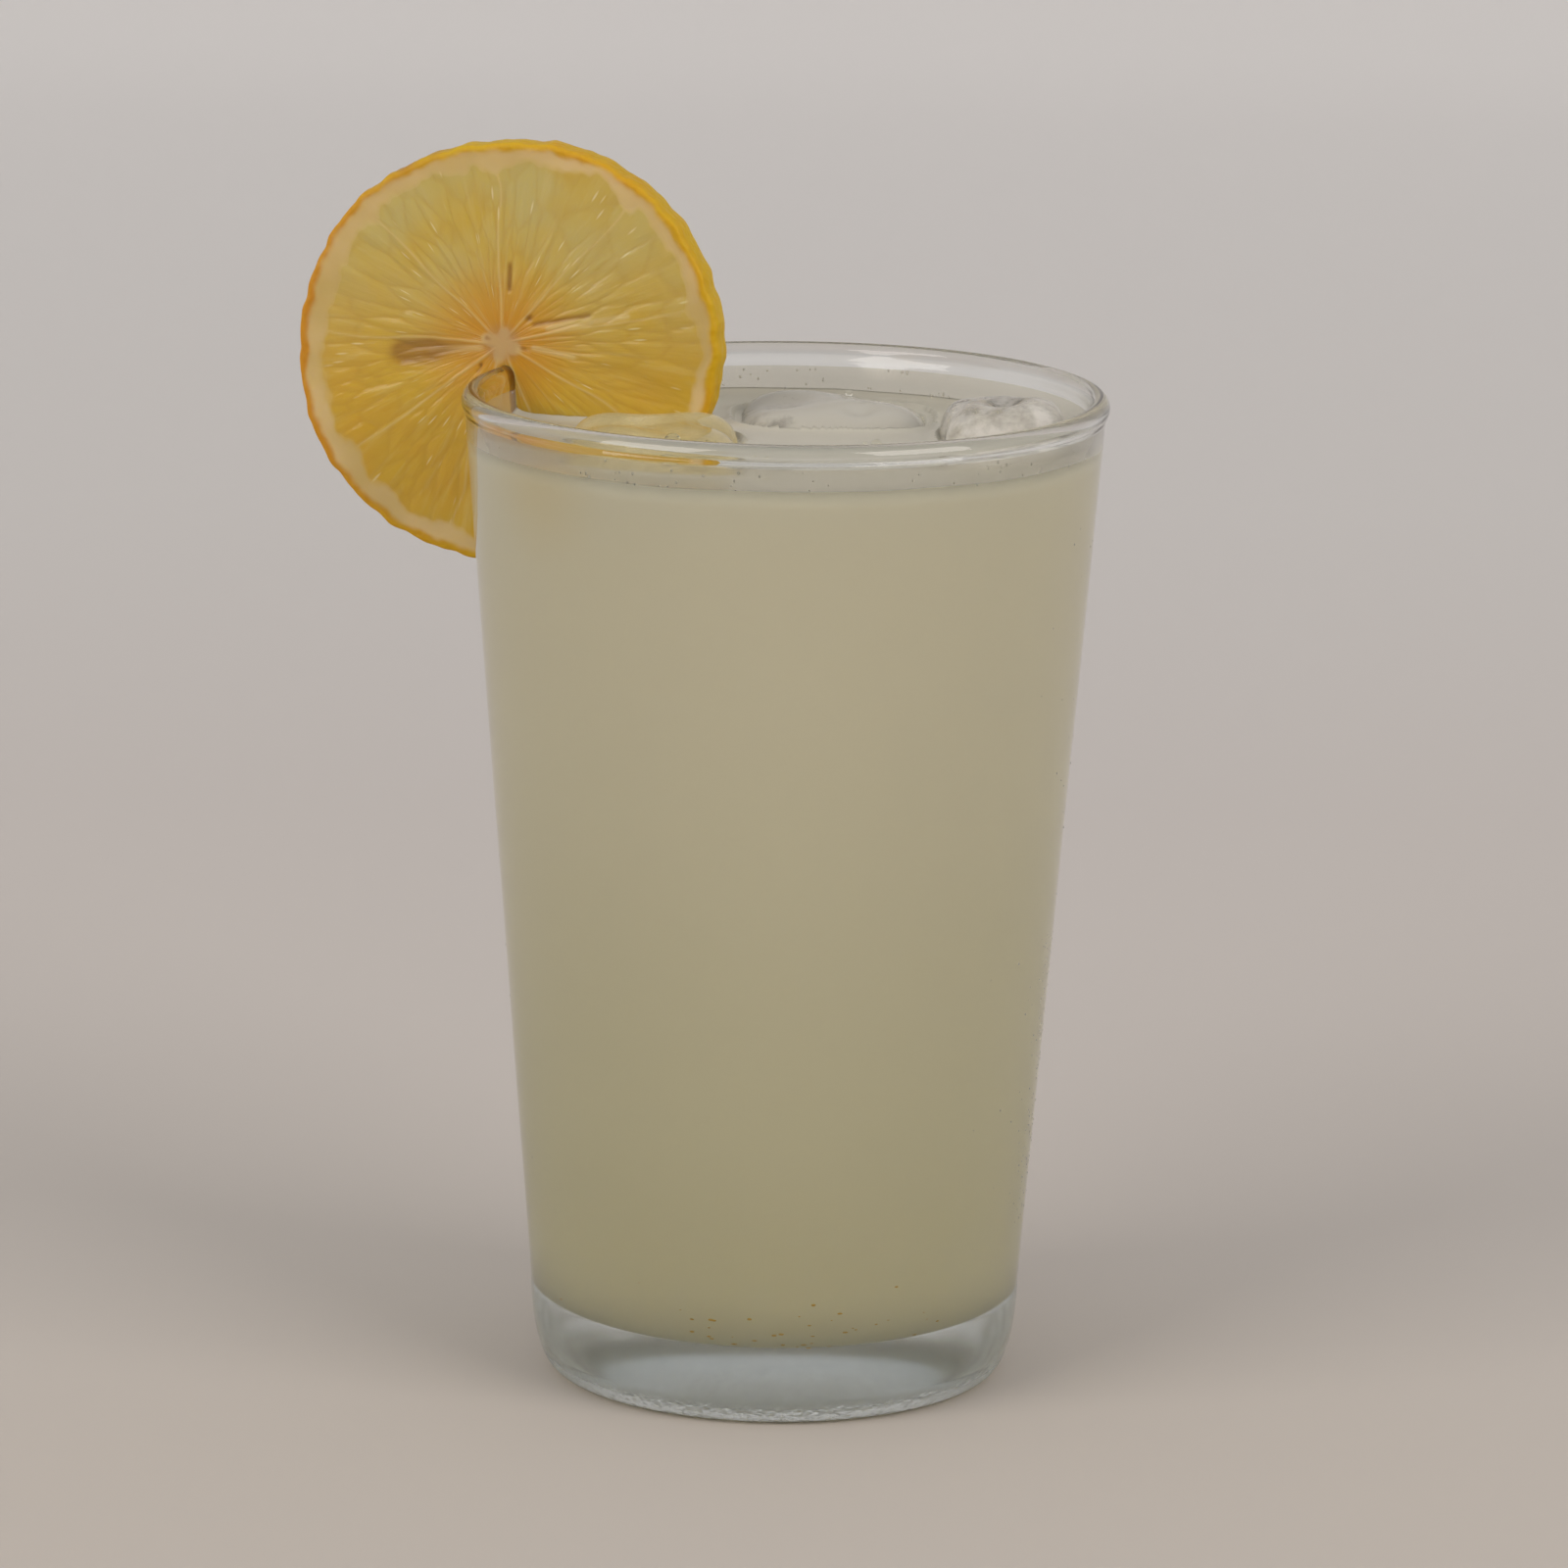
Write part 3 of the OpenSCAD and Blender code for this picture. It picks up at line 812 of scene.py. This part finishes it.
# %% Paint the zones
THREADS_A_SAC = 2.4
u, v, _ = to_slice(points_of(wheel_mesh))
zones = slice_zones(u, v)
for zone_name in ZONE_NAMES:
    layer = wheel_mesh.attributes.new(zone_name, "FLOAT", "POINT")
    layer.data.foreach_set("value", zones[zone_name].astype(np.float32))
streak_round = SACS * THREADS_A_SAC
streak = np.stack([streak_round * np.cos(zones["turn"]), streak_round * np.sin(zones["turn"]),
                   zones["away"] / SAC_LONG], -1)
layer = wheel_mesh.attributes.new("streak", "FLOAT_VECTOR", "POINT")
layer.data.foreach_set("vector", streak.astype(np.float32).ravel())
print("painted:", ", ".join(ZONE_NAMES))

# %% [markdown]
# ### Lemon
# Juice sacs are wet and let light deep in, so their shader scatters light under the surface. The
# pith is a dry white sponge, and the peel is waxy, with oil glands about 1 mm apart. Sacs and
# their pale threads run out from the core, so their pattern lies on coordinates that turn with
# it. Light is painted into the flesh as well: it is paler towards the top, as painted light from
# above, darker in the creases between sacs, and carries small painted glints and pale painted
# highlights along a few lines. Some lines and spots along the skins are painted darker brown.

# %% Finish of the lemon
GLAND_MM, PATCH_MM, GRAIN_MM = 1.1, 11.11, 0.6667
# threads and painted glints lie on the coordinates that turn with the core, where a sac is 1 long
THREAD_SCALE, PAINTED_GLINT_SCALE = 1.0, 1.1
lemon, tree = new_material("cut_lemon")
place = node(tree, "TexCoord").outputs["Object"]
zone = {name: node(tree, "Attribute", attribute_name=name).outputs[2] for name in ZONE_NAMES}
threads_at = node(tree, "Attribute", attribute_name="streak").outputs[1]
spot = node(tree, "SeparateXYZ", {0: place})
broad = node(tree, "TexNoise", {"Vector": place, "Scale": 1000 / PATCH_MM, "Detail": 2.0}).outputs[0]
threads = node(tree, "TexNoise", {"Vector": threads_at, "Scale": THREAD_SCALE, "Detail": 3.0}).outputs[0]
painted_glints = node(tree, "TexVoronoi", {"Vector": threads_at, "Scale": PAINTED_GLINT_SCALE}).outputs[0]
glands = node(tree, "TexVoronoi", {"Vector": place, "Scale": 1000 / GLAND_MM}, feature="F1").outputs[0]
fine = node(tree, "TexNoise", {"Vector": place, "Scale": 1000 / GRAIN_MM, "Detail": 3.0}).outputs[0]
juice = paint(tree, linear("c9a23a"), [
    # painted light: the flesh turns paler towards the top, where the light from above falls
    (spot.outputs[2], 0.125, 0.158, 1.0, linear("c2b373")),
    (broad, 0.35, 0.7, 0.7, linear("c9a83d")),
    (zone["away"], 14.0, 2.0, 0.75, linear("cc8c20")),
    (threads, 0.5, 0.8, 0.22, linear("d9cc92")),
    # painted shade: darker where two sacs meet, in the creases between them
    (zone["sac"], 0.25, 0.0, 0.16, linear("b8923a")),
    # painted glints: small pale marks that stand for wet highlights
    (painted_glints, 0.16, 0.05, 0.55, linear("e6dcb2"))])
pith = paint(tree, linear("c5ab6a"), [(broad, 0.3, 0.7, 1.0, linear("d3ba84"))])
peel_colour = paint(tree, linear("bc841a"), [
    (spot.outputs[0], -0.066, -0.045, 1.0, linear("c49e10")),
    (broad, 0.45, 0.75, 0.5, linear("c48c16"))])
wheel = paint(tree, pith, [
    (zone["flesh"], 0.0, 1.0, 1.0, juice),
    (zone["skin"], 0.0, 1.0, 0.12, linear("d3bd84")),
    # painted highlights: pale lines along a few streaks
    (zone["pale"], 0.0, 1.0, 0.55, linear("d9c48c")),
    (zone["away"], 3.4, 1.6, 0.6, linear("b78f5c")),
    (zone["brown"], 0.0, 1.0, 0.65, linear("94642c")),
    (zone["peel"], 0.0, 1.0, 1.0, peel_colour),
    (zone["scar"], 0.0, 1.0, 0.75, linear("9c6a3c"))])
gland_relief = node(tree, "Math", {0: glands, 1: zone["peel"]}, operation="MULTIPLY").outputs[0]
thread_relief = node(tree, "Math", {0: threads, 1: zone["flesh"]}, operation="MULTIPLY").outputs[0]
relief = node(tree, "Math", {0: gland_relief, 1: thread_relief}, operation="ADD").outputs[0]
relief = node(tree, "Math", {0: fine, 1: 0.15, 2: relief}, operation="MULTIPLY_ADD").outputs[0]
rough = node(tree, "Bump", {"Height": relief, "Strength": 0.5, "Distance": 0.0003})
gloss = node(tree, "MapRange", {0: zone["flesh"], 1: 0.2, 2: 0.8, 3: 0.55, 4: 0.20})
surface = node(tree, "BsdfPrincipled", {
    "Base Color": wheel, "Roughness": gloss.outputs[0], "IOR": 1.36, "Subsurface Weight": 0.75,
    "Subsurface Radius": (1.0, 0.8, 0.35), "Subsurface Scale": 0.003, "Normal": rough.outputs[0]})
finish_material(tree, surface)
show(wheel_mesh, [lemon], "lemon_slice")

# %% [markdown]
# ## The lemonade
# Cloudy lemonade is water full of fine pulp, so it scatters light like thin milk. Here it is one
# closed solid that reaches a little way into the wall of the glass, so that no air gap shows. Its
# side and bottom touch the glass and have no shine of their own. Its top is a height over each
# place: level, with fine ripples, and drawn up by most of a millimetre where it touches the glass,
# the slice and the ice. Below each block the height drops, which leaves the block its room.

# %% Heights of the surface
IN_WALL = 0.15
TOP_R = inner_r(LEVEL) + IN_WALL
EDGE_RISE, EDGE_REACH = 0.8, 0.9
TOUCH_RISE, TOUCH_REACH = 0.7, 0.8
POCKET_DEEP, POCKET_WALL = 4.0, 3.0
SLICE_LOW_HALF = 28.0
RIPPLE_HIGH, RIPPLE_MM = 0.05, 14.0
print(f"the drink climbs {EDGE_RISE} mm at the glass and {TOUCH_RISE} mm at the slice and the ice")


def drawn_up(gap, rise, reach):
    """How high a liquid climbs at a distance from what it wets: it falls off exponentially."""
    return rise * np.exp(-np.maximum(gap, 0) / reach)


def surface_height(x, y):
    """Height of the drink's surface over the places x, y: the level and its ripples, plus the climb
    at the glass, the slice and each block, less a smooth step down below each block."""
    spot = np.stack([x, y, 0 * x], -1)
    height = LEVEL + RIPPLE_HIGH * lumps(spot, RIPPLE_MM, seed=41)
    height += drawn_up(TOP_R - np.hypot(x, y), EDGE_RISE, EDGE_REACH)
    across, _, out = to_slice(spot)
    height += drawn_up(np.hypot(np.maximum(np.abs(out) - SLICE_T / 2, 0),
                                np.maximum(np.abs(across) - SLICE_LOW_HALF, 0)), TOUCH_RISE, TOUCH_REACH)
    for side in ICE_DIPS:
        low, high = span("ice_" + side)
        middle, half = (low + high)[:2] / 2, (high - low)[:2] / 2
        arm = np.stack([x, y], -1) - middle
        size = (np.abs(arm / half) ** ICE_SQUARE).sum(-1) ** (1 / ICE_SQUARE)
        within = (1 - size) * half.min()
        height += drawn_up(-within, TOUCH_RISE, TOUCH_REACH) * (within < 0)
        height -= POCKET_DEEP * smooth_step(within, 0.7, 0.7 + POCKET_WALL)
    return height


# %% Shape of the lemonade
DRINK_COLUMNS, TOP_ROWS = 440, 100
turn = np.linspace(0, 2 * np.pi, DRINK_COLUMNS, endpoint=False)
share = np.linspace(0, 1, TOP_ROWS)[:, None] ** 0.75
x, y = TOP_R * share * np.cos(turn), TOP_R * share * np.sin(turn)
top = np.stack([x, y, surface_height(x, y)], -1)
bottom = np.concatenate([
    line((0, FLOOR - IN_WALL), (CORNER_X, FLOOR - IN_WALL), 12),
    arc(CORNER_X, CORNER_Z, CORNER_R + IN_WALL, CORNER_R + IN_WALL, -90, -CORNER_LEAN, 14)[1:]])
bottom = revolve(bottom, DRINK_COLUMNS)
climb = np.linspace(0, 1, 46)[:, None]
z = bottom[-1, 0, 2] + climb * (top[-1, :, 2] - bottom[-1, 0, 2])
radius = inner_r(z) + IN_WALL
radius[-1] = TOP_R
side_wall = np.stack([radius * np.cos(turn), radius * np.sin(turn), z], -1)
drink_mesh = mesh_of("lemonade_fill", [bottom, side_wall, top])

# %% Which faces are the open surface
centres = centres_of(drink_mesh)
inside_edge = np.hypot(centres[:, 0], centres[:, 1]) < TOP_R - IN_WALL
open_top = (centres[:, 2] > LEVEL - 0.3) & inside_edge
print("open surface:", int(open_top.sum()), "faces of", len(open_top))

# %% [markdown]
# ### Cloudy lemonade
# The fine pulp sends the light back from so near the surface that the drink looks matt and solid.
# Its colour is painted lighter at the top and darker and greyer lower down, a painted shade for
# the light from above that fades as it goes down. In front of the slice a painted yellow glow
# stands for the lemon's light seen through the drink. Light from the clear bottom soaks into the
# lowest few centimetres, and scatters there under the surface.

# %% Finish of the lemonade
WATER_IOR = 1.333
DRINK_PAINTED_LIGHT, DRINK_PAINTED_SHADE, SURFACE_PAINTED_GREY, PAINTED_LEMON_GLOW = "ebe4c9", "dbd5b1", "bdb8a8", "e6c873"
GLOW_AT, GLOW_MM, GLOW_MOST = (-0.030, -0.024, 0.1255), 13.0, 0.26
# how far light soaks in, how much of it does, and the heights over which that fades out
SOAK_SCALE, SOAK_MOST, SOAK_LOW, SOAK_HIGH = 0.012, 0.9, 0.014, 0.040
# painted shade: the drink's colour goes from darker at the low height to lighter at the high one,
# which drifts by the noise
PAINTED_SHADE_LOW, PAINTED_SHADE_HIGH, DRIFT_HIGH, DRIFT_MM = 0.01, 0.125, 0.02, 45.45


def lemonade(name, shine):
    """Cloudy lemonade, with the shine of its wet surface or without."""
    material, tree = new_material(name)
    place = node(tree, "TexCoord").outputs["Object"]
    spot = node(tree, "SeparateXYZ", {0: place})
    drift = node(tree, "TexNoise", {"Vector": place, "Scale": 1000 / DRIFT_MM, "Detail": 2.0}).outputs[0]
    height = node(tree, "Math", {0: drift, 1: DRIFT_HIGH, 2: spot.outputs[2]},
                  operation="MULTIPLY_ADD").outputs[0]
    away = node(tree, "VectorMath", {0: place, 1: GLOW_AT}, operation="DISTANCE").outputs["Value"]
    # the open top is a painted copy of the drink: greyer, a painted reflection of the pale room, and
    # darker, a painted shade
    colour = linear(SURFACE_PAINTED_GREY) if shine else paint(tree, linear(DRINK_PAINTED_SHADE), [
        (height, PAINTED_SHADE_LOW, PAINTED_SHADE_HIGH, 1.0, linear(DRINK_PAINTED_LIGHT))])
    # painted light: a yellow glow near the slice, for the lemon's light seen through the drink
    colour = paint(tree, colour, [(away, GLOW_MM * MM, 0.0, GLOW_MOST, linear(PAINTED_LEMON_GLOW))])
    deep_light = node(tree, "MapRange", {
        0: spot.outputs[2], 1: SOAK_LOW, 2: SOAK_HIGH, 3: SOAK_MOST, 4: 0.0},
        interpolation_type="SMOOTHSTEP").outputs[0]
    surface = node(tree, "BsdfPrincipled", {
        "Base Color": colour, "Roughness": 0.22 if shine else 1.0, "IOR": WATER_IOR,
        "Specular IOR Level": 0.5 if shine else 0.0, "Subsurface Weight": 0.0 if shine else deep_light,
        "Subsurface Radius": (1.0, 0.95, 0.8), "Subsurface Scale": SOAK_SCALE})
    finish_material(tree, surface)
    return material


show(drink_mesh, [lemonade("lemonade_in_glass", False), lemonade("lemonade_surface", True)],
     "lemonade")
drink_mesh.polygons.foreach_set("material_index", open_top.astype(np.int32))

# %% [markdown]
# ## Drops and pulp
# Where the drink splashed, small flat drops cling to the inside of the wall above it, and mist has
# settled on a stretch of the cold outside. A drop is a ball squeezed against the wall: its middle
# lies on the wall, its width and height are random, and it stands out by a share of its width. A
# few bubbles of air have come up beside the ice.


# %% Drops on the wall
def on_wall(turn, z, wide, high, thick, wall_r):
    """Balls squeezed against a wall of the radius wall_r, at the turns and heights given: the small
    ball's sideways, outward and upward parts, each times a size of its own."""
    sideways = np.stack([-np.sin(turn), np.cos(turn), 0 * turn], -1)[:, None, None]
    outward = np.stack([np.cos(turn), np.sin(turn), 0 * turn], -1)[:, None, None]
    middle = np.stack([wall_r * np.cos(turn), wall_r * np.sin(turn), z], -1)[:, None, None]
    parts = [size[:, None, None, None] * SMALL_BALL[..., axis, None] * way
             for size, axis, way in ((wide, 0, sideways), (thick, 1, outward), (high, 2, upward))]
    return middle + sum(parts)


INSIDE_DROPS, DROP_PROUD = 110, 0.7
random = np.random.default_rng(61)
turn = np.concatenate([random.uniform(0, 2 * np.pi, 40), np.radians(random.uniform(40, 110, 30)),
                       np.radians(random.uniform(-130, -20, 40))])
# the power draws them towards the drink, which they splashed out of
z = LEVEL + 0.6 + (HEIGHT - BEAD_H - LEVEL - 0.9) * random.uniform(0, 1, INSIDE_DROPS) ** 1.4
wide = random.uniform(0.06, 0.22, INSIDE_DROPS)
high = wide * random.uniform(0.9, 1.6, INSIDE_DROPS)
inside_drops = on_wall(turn, z, wide, high, wide * DROP_PROUD, inner_r(z))
water, tree = new_material("splashed_lemonade")
surface = node(tree, "BsdfPrincipled", {
    "Base Color": linear("f4f1e6"), "Roughness": 0.1, "IOR": WATER_IOR, "Transmission Weight": 0.6})
finish_material(tree, surface)
show(swarm("drops_inside", inside_drops), [water])

# %% Bubbles on the ice and on the drink
# middle x, y, z and radius
BUBBLES_ON_TOP = np.array([
    (-14.7, -16.6, 129.2, 1.15), (-10.1, -15.4, 129.0, 0.35), (-9.0, -14.6, 128.8, 0.25),
    (-2.5, -19.5, 126.6, 0.45), (-4.0, -21.0, 126.5, 0.30), (12.1, -2.4, 126.6, 0.80),
    (10.6, -1.0, 126.5, 0.35), (8.6, 27.0, 128.6, 0.50), (20.5, -14.0, 126.5, 0.35),
    (27.0, -9.5, 126.5, 0.50), (28.6, -8.9, 126.4, 0.30), (-24.0, -20.5, 126.5, 0.40)])
film, tree = new_material("bubble_film")
surface = node(tree, "BsdfPrincipled", {
    "Base Color": linear("fdfdf8"), "Roughness": 0.0, "IOR": WATER_IOR, "Transmission Weight": 1.0})
finish_material(tree, surface)
top_bubbles = BUBBLES_ON_TOP[:, None, None, :3] + BUBBLES_ON_TOP[:, 3, None, None, None] * ball(13, 20)
show(swarm("bubbles_on_top", top_bubbles), [film])

# %% Mist on the outside
OUTSIDE_DROPS, MIST_PROUD = 240, 0.4
turn = np.radians(np.concatenate([random.normal(-12, 5, 160), random.uniform(-60, 200, 80)]))
z = np.concatenate([random.uniform(22, 62, 140), random.uniform(20, 118, 100)])
wide = random.uniform(0.05, 0.15, OUTSIDE_DROPS)
high = wide * random.uniform(0.9, 1.3, OUTSIDE_DROPS)
outside_drops = on_wall(turn, z, wide, high, wide * MIST_PROUD, outer_r(z))
show(swarm("mist_outside", outside_drops), [water])

# %% [markdown]
# Sunk pulp gathers at the bottom. Each bit is a stretched ball that just touches the rounded inner
# corner of the glass. More than half of the bits have gathered on one side.

# %% Bits of pulp
PULP, GATHERED, PULP_PROUD = 54, 30, 0.4
turn = np.radians(np.concatenate([
    random.normal(-86, 24, GATHERED), random.uniform(0, 360, PULP - GATHERED)]))
tilt = np.radians(random.uniform(-80, -20, PULP))
tilt[GATHERED:] = np.radians(random.uniform(-60, 0, PULP - GATHERED))
corner_reach = CORNER_R + IN_WALL
radius = CORNER_X + corner_reach * np.cos(tilt)
z = CORNER_Z + corner_reach * np.sin(tilt)
wide = random.uniform(0.12, 0.42, PULP)
pulp = on_wall(turn, z, wide, wide * random.uniform(0.3, 0.6, PULP), wide * PULP_PROUD, radius)
pulp_finish, tree = new_material("lemon_pulp")
surface = node(tree, "BsdfPrincipled", {
    "Base Color": linear("cda851"), "Roughness": 0.6, "IOR": 1.36, "Specular IOR Level": 0.0})
finish_material(tree, surface)
show(swarm("sunk_pulp", pulp), [pulp_finish])
